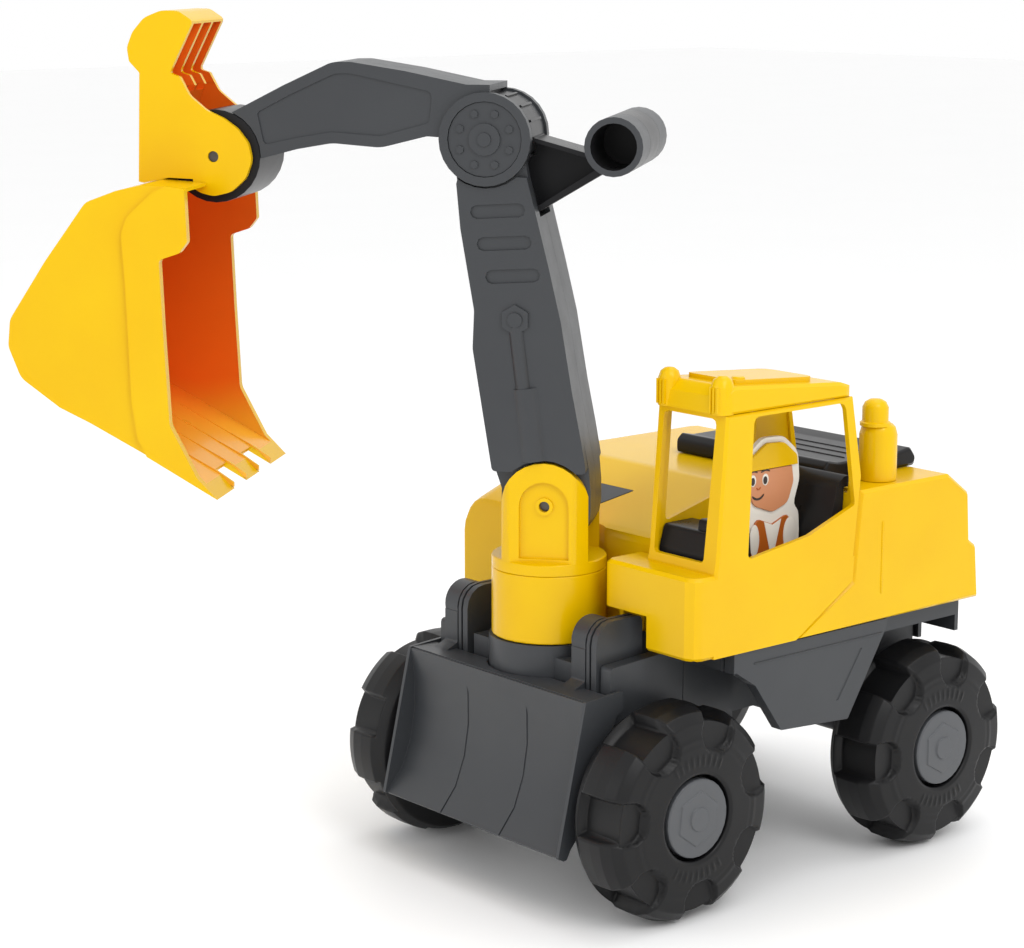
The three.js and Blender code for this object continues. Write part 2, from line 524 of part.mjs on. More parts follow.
function boomHalf(side) {
  const h = (a, b) => (side > 0 ? [a, b] : [-b, -a]);
  const joint = (r, a, b) => rodY(...ARM_PIVOT, r, ...h(a, b), 28);
  const wide = cut(
    alongY(boomWide, ...h(0.15, BOOM_HALF)),
    joint(35, 29.7, 50),
    rodY(...BOOM_PIVOT, 34.8, ...h(TONGUE_HALF, 50), 28),
  );
  const core = alongY(boomCore, ...h(0.15, TONGUE_HALF));
  const head = join(joint(31.4, 20.6, 29.5), alongY([[9, 518], [14, 545], [41, 555], [66, 548], [61.6, 518]],
    ...h(20.6, 29.5)));
  const hollow = alongY([[-29, 322], [-24.6, 341.5], [-18, 376], [-10, 425.5], [-1.2, 464], [7, 496], [56, 496],
    [50.2, 462], [45, 432], [46.4, 405], [33, 322]], ...h(-2, BOOM_HALF - 3.6));
  const throat = block(-40, 54, ...h(-2, 20.6), 499, 560);
  let s = cut(join(wide, core), hollow, throat);
  s = join(s, head);
  s = cut(s, joint(33.4, -2, 20.6));
  // Three rounded slots pressed into the outer face.
  for (const [cs, cz] of [[32, 504], [27.2, 481], [21, 457.5]]) {
    const slot = solid(extrude([[-20, -5, 4.6], [20, -5, 4.6], [20, 5, 4.6], [-20, 5, 4.6]], 6, 0)
      .rotateX(Math.PI / 2).translate(0, 3, 0).rotateY(THREE.MathUtils.degToRad(3.4))
      .translate(cs, side * (BOOM_HALF + 1.2), cz));
    s = s.subtract(slot);
  }
  // A hydraulic ram in relief: eye nut, rod and barrel.
  const skin = block(-60, 90, ...h(BOOM_HALF - 2, BOOM_HALF + 8), 322, 450);
  const eye = rodY(19, 426, 11, ...h(BOOM_HALF - 1, BOOM_HALF + 2.2), 6);
  const knob = rodY(19, 426, 5.4, ...h(BOOM_HALF - 1, BOOM_HALF + 3.6), 16);
  const tilt = Math.atan2(6, 50);
  const ram = (r, length, cs, cz, sink) => solid(new THREE.CylinderGeometry(r, r, length, 20)
    .rotateX(Math.PI / 2).rotateY(tilt).translate(cs, side * (BOOM_HALF - sink), cz)).intersect(skin);
  s = join(s, eye, knob, ram(6.2, 46, 16.2, 398, 3), ram(12.6, 56, 8.6, 348, 8.6));
  return cut(s, rodY(...BOOM_PIVOT, 4.1, -50, 50), rodY(...BOOM_PIVOT, 34.8, ...h(TONGUE_HALF, 50), 28),
    rodY(...ARM_PIVOT, 8.1, -50, 50));
}
piece("boom_half_left", boomHalf(1), GREY, boomSide);
piece("boom_half_right", boomHalf(-1), GREY, boomSide);

// ---------------------------------------------------------------- arm, lever and handle
const armSide = [[38, 585], [38, 593.4], [55, 593.4], [100, 602.6], [140, 608.8, 20], [153.5, 608.6, 20],
  [190, 591.6, 30], [229.6, 571.4], [250, 560], [250, 528], [208, 538.6], [180, 546, 30], [154, 550.6, 30],
  [118, 547.8, 30], [84, 556.4, 6], [60, 555]];

function armHalf(side) {
  const h = (a, b) => (side > 0 ? [a, b] : [-b, -a]);
  const ring = rodY(...ARM_PIVOT, 33.4, ...h(29.9, ARM_RING_HALF), 28);
  const body = alongY(armSide, ...h(0.15, ARM_HALF));
  const hollow = alongY([[74, 584], [74, 590], [100, 598.6], [140, 604.4], [152.6, 604.4], [188, 588], [226, 568],
    [250, 558], [250, 533], [209, 542.6], [181, 550], [154.2, 554.8], [118, 552], [85, 560.6], [74, 562]],
    ...h(-2, ARM_HALF - 3.2));
  const sunk = alongY([[82, 566, 4], [80, 588, 4], [140, 600.6, 16], [151.6, 600.4, 16], [186, 584.6], [210, 572, 3],
    [205, 548.6, 3], [181, 554, 20], [154, 558.6, 20], [118, 556, 20]], ...h(ARM_HALF - 1.2, ARM_HALF + 5));
  const pocket = rodY(...ARM_PIVOT, 27, ...h(ARM_RING_HALF - 3.4, ARM_RING_HALF + 5), 24);
  const s = cut(
    join(cut(body, hollow), ring),
    sunk, pocket,
    rodY(...ARM_PIVOT, 34.2, ...h(-2, 29.9), 28),
    rodY(...BUCKET_PIVOT, 34.4, ...h(-2, 60), 28),
    rodY(...ARM_PIVOT, 8.1, -50, 50),
  );
  return s;
}
piece("arm_half_left", armHalf(1), GREY, boomSide);
piece("arm_half_right", armHalf(-1), GREY, boomSide);

piece("arm_knuckle", cut(
  join(rodY(...BUCKET_PIVOT, 33.8, -32.6, 32.6, 28),
    alongY([[186, 553], [188, 582], [226, 563], [240, 556], [240, 540], [209, 547]], -16, 16)),
  rodY(...BUCKET_PIVOT, 4.1, -40, 40),
), BLACK, boomSide);

function leverSolid() {
  const [hs, hz] = HANDLE;
  const [js, jz] = ARM_PIVOT;
  let drum = rodY(js, jz, 31.6, -20.2, 20.2, 28);
  for (let i = 0; i < 16; i++) {
    const a = (i * Math.PI) / 8;
    const tooth = new THREE.BoxGeometry(4, 40.4, 1.8).translate(31, 0, 0).rotateY(-a).translate(js, 0, jz);
    drum = drum.add(solid(tooth));
  }
  const outer = [[18, 558], [-34, 544], [-48, 534], [8, 500.6], [22, 526]];
  const inner = [[16, 554.4], [-30, 541.6], [-37, 533.6], [6, 506.4], [16, 526]];
  const flanges = cut(alongY(outer, -20, 20), alongY(inner, 2.4, 24), alongY(inner, -30, -2.4));
  const barrel = rodY(hs, hz, 20.9, -24, 24, 24);
  return cut(join(drum, flanges, barrel), rodY(hs, hz, 20.3, -40, 40, 24), rodY(js, jz, 8.1, -40, 24));
}
piece("lever_bracket", leverSolid(), BLACK, boomSide);

piece("handle_tube", cut(
  join(rodY(...HANDLE, 20, -61.8, 61.8, 24), rodY(...HANDLE, 20.9, 24.3, 61.8, 24), rodY(...HANDLE, 20.9, -61.8, -24.3, 24)),
  rodY(...HANDLE, 16.5, 3, 70, 24),
  rodY(...HANDLE, 16.5, -70, -3, 24),
), GREY, boomSide);

function jointCapSolid(side) {
  const h = (a, b) => (side > 0 ? [a, b] : [-b, -a]);
  const [js, jz] = ARM_PIVOT;
  let s = rodY(js, jz, 26.6, ...h(ARM_RING_HALF - 3, ARM_RING_HALF - 1.2), 24);
  s = s.add(rodY(js, jz, 11.5, ...h(ARM_RING_HALF - 2, ARM_RING_HALF + 0.6), 18));
  s = s.add(rodY(js, jz, 5, ...h(ARM_RING_HALF - 2, ARM_RING_HALF + 1.8), 12));
  for (let i = 0; i < 8; i++) {
    const a = ((i + 0.5) * Math.PI) / 4;
    s = s.add(rodY(js + 19.4 * Math.cos(a), jz + 19.4 * Math.sin(a), 3, ...h(ARM_RING_HALF - 2, ARM_RING_HALF + 0.2), 6));
  }
  return s;
}
piece("joint_cap_left", jointCapSolid(1), GREY, boomSide);
piece("joint_cap_right", jointCapSolid(-1), GREY, boomSide);
piece("arm_pin", rodY(...ARM_PIVOT, 8, -34.6, 34.6), STEEL, boomSide);

// ---------------------------------------------------------------- bucket
const bucketSide = [[247.5, 521], [281, 523, 4], [300, 518.5, 20], [322.7, 510, 12], [354.6, 467, 60],
  [383, 424, 14], [385, 404, 10], [376, 381, 14], [347, 360], [324, 349.3], [281, 326.5], [228, 296.6],
  [243, 312], [262.6, 350, 12], [265.6, 414], [267.6, 470, 3], [252.6, 475, 4], [246.2, 483, 3]];
const bucketBand = [[247.5, 521, 2], [262, 522.6], [271, 518.4], [291, 500.4, 14], [295.6, 488, 12], [293.4, 452],
  [292, 400], [291, 367], [287.4, 340, 14], [280.6, 326.4], [228, 296.6], [243, 312], [262.6, 350, 12],
  [265.6, 414], [267.6, 470, 3], [252.6, 475, 4], [246.2, 483, 3]];

function bucketSolid() {
  const outer = alongY(bucketSide, -BUCKET_HALF, BUCKET_HALF);
  const inner = alongY([[180, 517.4], [280.6, 519.4], [299, 515, 20], [320.4, 507, 10], [351.4, 465, 60],
    [379.4, 422.6, 12], [381.4, 404.6, 8], [372.8, 383.6, 12], [345.2, 363.6], [322.4, 353], [279.4, 330],
    [226, 300.2], [180, 274]], -BUCKET_HALF + 3.6, BUCKET_HALF - 3.6);
  let s = cut(outer, inner);
  for (const y of [BUCKET_HALF - 2, -BUCKET_HALF - 3.4]) s = s.add(alongY(bucketBand, y, y + 5.4));
  for (const y of [-49, -16, 16, 49]) {
    s = s.add(alongY([[300, 337], [300, 341.4], [242, 310.6], [228, 301.4], [228, 298]], y - 1, y + 1));
  }
  const gap = [[212, 280], [212, 310], [245.6, 310], [245.6, 300]];
  s = cut(s, alongY(gap, 17.4, 47.6), alongY(gap, -47.6, -17.4));
  return cut(s, block(233, 258.3, -39.3, 39.3, 505, 530), rodY(...BUCKET_PIVOT, 34.8, -34.4, 34.4, 24));
}
piece("bucket_shell", bucketSolid(), YELLOW, boomSide);

function gripSolid() {
  const side = [[257.6, 523.6], [276, 524.2], [295, 520.2], [299, 521], [296.4, 600, 2], [304, 608, 3],
    [305.4, 618, 8], [301, 629, 14], [292, 639.4, 14], [279, 644.6, 14], [266, 644.4, 8], [254.8, 637, 3],
    [273.6, 599.6, 2], [266, 597.4, 2], [259, 584, 12], [246.6, 573.6, 14], [233.6, 567.6, 8], [223.6, 560.6, 10],
    [215.4, 550, 12], [212.8, 538, 14], [217.6, 524.6, 14], [228.6, 514.6, 14], [242, 511.2, 14], [252, 513.6, 8],
    [257.6, 517]];
  let s = alongY(side, -EAR_HALF, EAR_HALF);
  const mouth = [[195, 500], [277.4, 500], [277.4, 566], [269, 590, 3], [249, 590], [195, 560]];
  s = s.subtract(alongY(mouth, -MOUTH_HALF, MOUTH_HALF));
  const slot = [[231, 635], [268, 635, 2], [284, 602], [284, 585], [245, 585]];
  for (const middle of [-23.9, 0, 23.9]) s = s.subtract(alongY(slot, middle - 9.6, middle + 9.6));
  return s.subtract(rodY(...BUCKET_PIVOT, 4.06, -EAR_HALF + 1.5, 40));
}
piece("bucket_grip", gripSolid(), YELLOW, boomSide);
piece("bucket_pin", rodY(...BUCKET_PIVOT, 4, -EAR_HALF + 3, EAR_HALF - 2), STEEL, boomSide);

// ---------------------------------------------------------------- origin: bottom centre of the whole digger
root.updateMatrixWorld(true);
const box = new THREE.Box3().setFromObject(root, true);
digger.position.set(-(box.min.x + box.max.x) / 2, -(box.min.y + box.max.y) / 2, -box.min.z);
root.updateMatrixWorld(true);

export default root;
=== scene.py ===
"""Finishes the ride-on digger: moulded plastic pieces, tyres, printed driver, studio floor and light."""
import json
import math

import bmesh
import bpy
import numpy as np
from bpy.props import FloatProperty, FloatVectorProperty, PointerProperty
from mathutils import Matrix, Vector


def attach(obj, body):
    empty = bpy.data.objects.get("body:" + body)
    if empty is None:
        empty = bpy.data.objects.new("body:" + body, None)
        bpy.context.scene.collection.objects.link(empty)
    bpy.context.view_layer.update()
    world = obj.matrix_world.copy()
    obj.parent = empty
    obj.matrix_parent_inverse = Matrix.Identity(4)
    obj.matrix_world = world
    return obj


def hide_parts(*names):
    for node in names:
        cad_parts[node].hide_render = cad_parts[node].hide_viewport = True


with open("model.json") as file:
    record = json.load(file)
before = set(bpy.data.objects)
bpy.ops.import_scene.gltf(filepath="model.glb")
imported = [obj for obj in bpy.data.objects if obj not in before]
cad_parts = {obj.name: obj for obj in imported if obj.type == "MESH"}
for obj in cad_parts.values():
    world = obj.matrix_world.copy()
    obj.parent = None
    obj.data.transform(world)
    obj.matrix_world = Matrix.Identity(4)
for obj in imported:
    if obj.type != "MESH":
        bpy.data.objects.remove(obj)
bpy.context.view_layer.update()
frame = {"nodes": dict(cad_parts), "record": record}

bl_info = {
    "name": "Ride-on digger",
    "version": (1, 0, 0),
    "blender": (4, 5, 0),
    "location": "View3D > Sidebar > Digger",
    "description": "Builds the visible pieces of a child's ride-on digger round its packed frame",
    "category": "Object",
}

BODY_OF = {
    node: body
    for body, nodes in frame["record"]["behaviour"]["bodies"].items()
    for node in nodes
}
SLOT_OF = {s["node"]: s["material_slot"] for s in frame["record"]["subparts"]}
JOINTS = {j["name"]: j for j in frame["record"]["behaviour"]["joints"]}
MM = 0.001

# The digger's own frame: front wheels and mast are measured from a point on the floor behind the mast.
MAST_X = 34 * MM
BOOM_PIVOT_Z = 288.5 * MM
ORIGIN = Vector((
    JOINTS["mast_swing"]["pos_m"][0] - MAST_X,
    JOINTS["mast_swing"]["pos_m"][1],
    JOINTS["boom_pivot"]["pos_m"][2] - BOOM_PIVOT_Z,
))


def spot(x, y, z):
    """A point given in millimetres in the digger's own frame, in the row frame's metres."""
    return ORIGIN + Vector((x, y, z)) * MM


# ------------------------------------------------------------------ settings
def length(name, description, default):
    return FloatProperty(name=name, description=description, default=default, unit="LENGTH", min=0.0)


def colour(name, description, default):
    return FloatVectorProperty(
        name=name, description=description, default=default, subtype="COLOR", size=3, min=0.0, max=1.0)


class DiggerFinish(bpy.types.PropertyGroup):
    """Colours of the moulded parts."""
    yellow: colour("Yellow", "Glossy yellow shells", (0.76, 0.475, 0.0))
    dark: colour("Dark grey", "Chassis, boom and arm", (0.038, 0.041, 0.045))
    black: colour("Black", "Saddle and knuckles", (0.012, 0.012, 0.013))
    tyre: colour("Tyre", "Blow-moulded tyres", (0.007, 0.007, 0.0075))
    cap: colour("Hub cap", "Wheel caps", (0.072, 0.076, 0.082))
    white: colour("White", "Printed plate and shirt", (0.86, 0.84, 0.78))
    skin: colour("Skin", "Printed face", (0.62, 0.27, 0.13))
    ink: colour("Ink", "Printed eyes, brows and mouth", (0.02, 0.013, 0.01))
    vest: colour("Vest", "Printed vest", (0.5, 0.12, 0.01))
    # Painted light: the inner orange is painted glow and reflection inside the bucket and its grip, and the
    # lit orange is a painted pool of light on the bucket's floor.
    orange: colour("Inner orange", "Deep glow of yellow plastic seen from inside", (0.76, 0.13, 0.008))
    glow: colour("Lit orange", "The bucket's floor, where light reaches it", (0.84, 0.40, 0.025))


class DiggerEdges(bpy.types.PropertyGroup):
    """How far the moulded edges are rounded."""
    shell: length("Shell edge", "Edge radius of the yellow shells", 2.8 * MM)
    frame: length("Frame edge", "Edge radius of the grey parts", 1.2 * MM)
    small: length("Small edge", "Edge radius of small parts", 0.5 * MM)


class DiggerTyre(bpy.types.PropertyGroup):
    """Pockets and ribs moulded into the tyres."""
    floor_r: length("Pocket floor", "Radius of the pockets' floor", 70.2 * MM)
    pocket_half: length("Pocket half width", "Half width of a pocket", 15.5 * MM)
    lobe_r: length("Lobe centre", "Radius at which a pocket's round end is centred", 64.5 * MM)
    wall: length("Pocket wall", "Width of the pockets' sloping wall", 1.5 * MM)
    sink: length("Lobe floor", "Distance of the lobe's floor from the wheel's middle", 21 * MM)
    rib: length("Rib height", "Height of the short ribs round the hub", 0.5 * MM)


def finish():
    return bpy.context.scene.digger_finish


def edges():
    return bpy.context.scene.digger_edges


# ------------------------------------------------------------------ shader maths
class Value:
    """A socket that takes arithmetic: an expression on values adds its Math nodes."""

    def __init__(self, paint, socket):
        self.paint = paint
        self.socket = socket

    def math(self, operation, *others):
        inputs = {i: v for i, v in enumerate((self, *others))}
        return self.paint.node("ShaderNodeMath", {"operation": operation}, inputs)

    def __add__(self, other):
        return self.math("ADD", other)

    def __mul__(self, other):
        return self.math("MULTIPLY", other)

    __radd__ = __add__
    __rmul__ = __mul__


class Paint:
    """One material and the nodes that feed its shader."""

    def __init__(self, name):
        self.material = bpy.data.materials.new(name)
        self.material.use_nodes = True
        self.tree = self.material.node_tree
        self.shader = self.tree.nodes["Principled BSDF"]
        self.place = self.node("ShaderNodeTexCoord", {}, {}, "Object")

    def node(self, kind, settings, inputs, output=0):
        """Adds a node with its settings, then the values or links of its sockets."""
        made = self.tree.nodes.new(kind)
        for key, value in settings.items():
            setattr(made, key, value)
        for key, value in inputs.items():
            if isinstance(value, Value):
                self.tree.links.new(value.socket, made.inputs[key])
            else:
                made.inputs[key].default_value = value
        return Value(self, made.outputs[output])

    def noise(self, scale, detail=2.0, rough=0.5):
        """Cloudy variation from 0 to 1; scale is in waves per metre."""
        return self.node(
            "ShaderNodeTexNoise", {},
            {"Vector": self.place, "Scale": scale, "Detail": detail, "Roughness": rough})

    def ramp(self, value, low, high):
        """Runs from 0 to 1 as value goes from low to high."""
        return self.node(
            "ShaderNodeMapRange", {"interpolation_type": "SMOOTHSTEP"},
            {"Value": value, "From Min": low, "From Max": high})

    def mix(self, factor, a, b):
        """Colour a where the factor is 0 and colour b where it is 1."""
        made = self.tree.nodes.new("ShaderNodeMix")
        made.data_type = "RGBA"
        for key, value in ((0, factor), (6, a), (7, b)):
            if isinstance(value, Value):
                self.tree.links.new(value.socket, made.inputs[key])
            else:
                made.inputs[key].default_value = value
        return Value(self, made.outputs[2])

    def bump(self, height, strength, distance, under=None):
        inputs = {"Height": height, "Strength": strength, "Distance": distance}
        if under is not None:
            inputs["Normal"] = under
        return self.node("ShaderNodeBump", {}, inputs, "Normal")

    def set(self, **sockets):
        names = {"colour": "Base Color", "roughness": "Roughness", "normal": "Normal", "metallic": "Metallic",
                 "coat": "Coat Weight", "coat_roughness": "Coat Roughness", "specular": "Specular IOR Level"}
        for key, value in sockets.items():
            if isinstance(value, Value):
                self.tree.links.new(value.socket, self.shader.inputs[names[key]])
            else:
                self.shader.inputs[names[key]].default_value = value
        return self.material


def rgba(c, gain=1.0):
    return (min(c[0] * gain, 1.0), min(c[1] * gain, 1.0), min(c[2] * gain, 1.0), 1.0)


def moulded_plastic(
        name, base, deep, roughness, spread, grain, grain_scale, sink_marks, coat=0.0, specular=0.5):
    """Injection-moulded plastic: cloudy tone, faint flow marks, a fine tool texture and soft sink marks."""
    paint = Paint(name)
    tone = paint.ramp(paint.noise(9.0, 3.0), 0.35, 0.7)
    flow = paint.noise(46.0, 4.0, 0.6)
    fine = paint.noise(grain_scale, 2.0)
    shade = paint.mix(tone * 0.55 + flow * 0.3, rgba(base), rgba(deep))
    normal = paint.bump(paint.noise(18.0, 1.0), sink_marks, 0.0012)
    normal = paint.bump(fine, grain, 0.0003, normal)
    return paint.set(
        colour=shade,
        roughness=flow * spread + roughness,
        normal=normal,
        coat=coat,
        coat_roughness=0.08,
        specular=specular,
    )


def painted_glow_inner(colours):
    """Painted glow and reflection of the yellow plastic seen from inside: deep orange, with a painted pool of
    light, paler, on the bucket's floor and by its teeth.
    """
    paint = Paint("inner_orange_shell")
    height = paint.node("ShaderNodeSeparateXYZ", {}, {"Vector": paint.place}, "Z")
    cloud = paint.noise(14.0, 3.0)
    # Painted pool of light: the lower faces, the bucket's floor and by its teeth, take the paler lit orange.
    low = paint.ramp(height + cloud * 0.02, 0.372, 0.322)
    # The deep orange is painted glow, its shade varied at random by the cloud.
    deep = paint.mix(cloud, rgba(colours.orange), rgba(colours.orange, 1.12))
    return paint.set(
        colour=paint.mix(low, deep, rgba(colours.glow)), roughness=cloud * 0.1 + 0.24,
        normal=paint.bump(paint.noise(1500.0), 0.05, 0.0003), coat=0.1, specular=0.24)


def steel_with_painted_shade():
    """Steel darkened with painted shade, as in the dark holes the pins sit in, with fine streaks."""
    paint = Paint("oiled_dark_steel")
    streak = paint.noise(260.0, 4.0, 0.7)
    return paint.set(
        # The dark greys are painted shade; the streaks vary them at random.
        colour=paint.mix(streak, (0.07, 0.06, 0.055, 1), (0.13, 0.12, 0.11, 1)),
        roughness=streak * 0.2 + 0.24, metallic=1.0)


def scaled(c, gains):
    return tuple(v * g for v, g in zip(c, gains))


GLOSS = {"roughness": 0.2, "spread": 0.08, "grain": 0.05, "grain_scale": 1500.0, "sink_marks": 0.05}
PRINT = {
    "roughness": 0.4, "spread": 0.06, "coat": 0.1, "grain": 0.03, "grain_scale": 1500.0, "sink_marks": 0.02}

# Each moulded look: its material's name, how its base colour shifts in the cloudy patches, and its finish.
LOOKS = {
    "yellow": ("yellow_gloss_shell", (0.96, 0.88, 1.0), {**GLOSS, "coat": 0.04, "specular": 0.2}),
    "dark": ("dark_grey_moulding", (0.82, 0.82, 0.84), {
        "roughness": 0.32, "spread": 0.12, "grain": 0.16, "grain_scale": 2400.0, "sink_marks": 0.05,
        "specular": 0.42}),
    "black": ("black_gloss_moulding", (1.5, 1.5, 1.5), {
        "roughness": 0.24, "spread": 0.1, "grain": 0.06, "grain_scale": 1800.0, "sink_marks": 0.08,
        "specular": 0.14}),
    "tyre": ("blow_moulded_tyre", (1.5, 1.5, 1.5), {
        "roughness": 0.3, "spread": 0.12, "grain": 0.22, "grain_scale": 2000.0, "sink_marks": 0.1,
        "specular": 0.22}),
    "cap": ("grey_hub_cap", (0.86, 0.86, 0.88), {
        "roughness": 0.36, "spread": 0.1, "grain": 0.14, "grain_scale": 2200.0, "sink_marks": 0.04}),
    "white": ("printed_white", (0.93, 0.92, 0.9), PRINT),
    "skin": ("printed_skin", (0.94, 0.86, 0.8), PRINT),
    "vest": ("printed_vest", (0.8, 0.8, 0.8), PRINT),
    "ink": ("printed_ink", (1.5, 1.5, 1.4), PRINT),
}
MATERIALS = {}


def material_for(look):
    """The finished material of each look, made once."""
    if look not in MATERIALS:
        # The steel look is painted dark as shade.
        if look == "steel":
            MATERIALS[look] = steel_with_painted_shade()
        # The inner look is the painted glow inside the bucket and its grip.
        elif look == "inner":
            MATERIALS[look] = painted_glow_inner(finish())
        else:
            name, shift, settings = LOOKS[look]
            base = getattr(finish(), look)
            MATERIALS[look] = moulded_plastic(name, base, scaled(base, shift), **settings)
    return MATERIALS[look]


# ------------------------------------------------------------------ meshes
def smooth_by_angle(mesh, degrees):
    """Smooth faces, with the edges that turn by more than this angle kept sharp."""
    mesh.shade_smooth()
    mesh.set_sharp_from_angle(angle=math.radians(degrees))


def new_piece(name, mesh, body, look):
    obj = bpy.data.objects.new(name, mesh)
    bpy.context.scene.collection.objects.link(obj)
    mesh.materials.clear()
    mesh.materials.append(material_for(look))
    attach(obj, body)
    return obj


def moulded(node, edge, sharp=48.0, segments=3):
    """The solid of a node, its corners welded, its flat faces joined and its edges rounded as if moulded."""
    mesh = frame["nodes"][node].data.copy()
    mesh.name = node + "_moulded"
    bm = bmesh.new()
    bm.from_mesh(mesh)
    bmesh.ops.remove_doubles(bm, verts=bm.verts, dist=0.02 * MM)
    bmesh.ops.dissolve_limit(bm, angle_limit=math.radians(0.6), verts=bm.verts, edges=bm.edges)
    bm.to_mesh(mesh)
    bm.free()
    smooth_by_angle(mesh, sharp)
    obj = new_piece(node + "_moulded", mesh, BODY_OF[node], SLOT_OF[node])
    if edge:
        rounding = obj.modifiers.new("rounded_edges", "BEVEL")
        rounding.width = edge
        rounding.segments = segments
        rounding.limit_method = "ANGLE"
        rounding.angle_limit = math.radians(sharp)
        rounding.miter_outer = "MITER_ARC"
        rounding.harden_normals = True
    even = obj.modifiers.new("even_shading", "WEIGHTED_NORMAL")
    even.keep_sharp = True
    even.weight = 60
    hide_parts(node)
    return obj


def within(outline, x, y):
    """Which points lie inside a closed outline: a ray from them crosses its edges an odd number of times."""
    inside = np.zeros(len(x), bool)
    for (x0, y0), (x1, y1) in zip(outline, np.roll(outline, -1, axis=0)):
        crosses = (y0 > y) != (y1 > y)
        if y0 != y1:
            inside ^= crosses & (x < x0 + (y - y0) * (x1 - x0) / (y1 - y0))
    return inside


def line_inside(obj, look, outline, half, reach=3.0):
    """Gives another look to the faces that look into a cavity, for painted glow and painted shade inside: an
    outline in the boom plane, half deep.
    """
    axis = Vector(JOINTS["bucket_pivot"]["axis"])
    along = axis.cross(Vector((0, 0, 1)))
    mesh = obj.data
    mesh.materials.append(material_for(look))
    mesh.calc_loop_triangles()
    widest = {}
    for tri in mesh.loop_triangles:
        if tri.area > widest.get(tri.polygon_index, (0.0, None))[0]:
            middle = sum((mesh.vertices[v].co for v in tri.vertices), Vector()) / 3
            widest[tri.polygon_index] = (tri.area, middle)
    mast = spot(34, 0, 0)
    seen = np.array([widest[p.index][1] + p.normal * (reach * MM) - mast for p in mesh.polygons])
    s, h, z = seen @ np.array(along) / MM, seen @ np.array(axis) / MM, seen[:, 2] / MM
    index = within(np.array(outline, float), s, z) & (np.abs(h) < half)
    mesh.polygons.foreach_set("material_index", index.astype(np.int32))


def grid_mesh(name, points, closed_u, closed_v, ends=()):
    """A mesh over a grid of points[u, v]; a closed direction joins its last row to its first.

    ends caps the first or last row of an open u direction with one flat face.
    """
    nu, nv = points.shape[:2]
    index = np.arange(nu * nv).reshape(nu, nv)
    rows = np.vstack([index, index[:1]]) if closed_u else index
    grid = np.hstack([rows, rows[:, :1]]) if closed_v else rows
    quads = np.stack([grid[:-1, :-1], grid[1:, :-1], grid[1:, 1:], grid[:-1, 1:]], -1).reshape(-1, 4)
    faces = quads.tolist()
    if 0 in ends:
        faces.append(index[0].tolist())
    if -1 in ends:
        faces.append(index[-1][::-1].tolist())
    mesh = bpy.data.meshes.new(name)
    mesh.from_pydata(points.reshape(-1, 3).tolist(), [], faces)
    bm = bmesh.new()
    bm.from_mesh(mesh)
    bmesh.ops.recalc_face_normals(bm, faces=bm.faces)
    bm.to_mesh(mesh)
    bm.free()
    mesh.shade_smooth()
    return mesh


def smoothstep(x, low, high):
    t = np.clip((x - low) / (high - low), 0.0, 1.0)
    return t * t * (3 - 2 * t)


def rounded_loop(points, radius, steps):
    """A closed outline whose corners are arcs of at most the given radius."""
    points = np.asarray(points, float)
    out = []
    for i, p in enumerate(points):
        a = points[i - 1] - p
        b = points[(i + 1) % len(points)] - p
        la, lb = np.hypot(*a), np.hypot(*b)
        a, b = a / la, b / lb
        half = math.acos(float(np.clip(a @ b, -1, 1))) / 2
        reach = min(radius / math.tan(half), 0.45 * la, 0.45 * lb)
        t = np.linspace(0, 1, steps)[:, None]
        start, end = p + a * reach, p + b * reach
        out.append((1 - t) ** 2 * start + 2 * t * (1 - t) * p + t * t * end)
    return np.vstack(out)


def resampled(loop, step):
    """The loop with points no further apart than step."""
    nxt = np.roll(loop, -1, axis=0)
    counts = np.maximum(1, np.ceil(np.hypot(*(nxt - loop).T) / step).astype(int))
    return np.vstack([a + (b - a) * (np.arange(n) / n)[:, None] for a, b, n in zip(loop, nxt, counts)])


# ------------------------------------------------------------------ tyres
TYRE_TURNS = 7
TYRE_STEPS = 60 * TYRE_TURNS
TREAD_INNER = -14.5 * MM


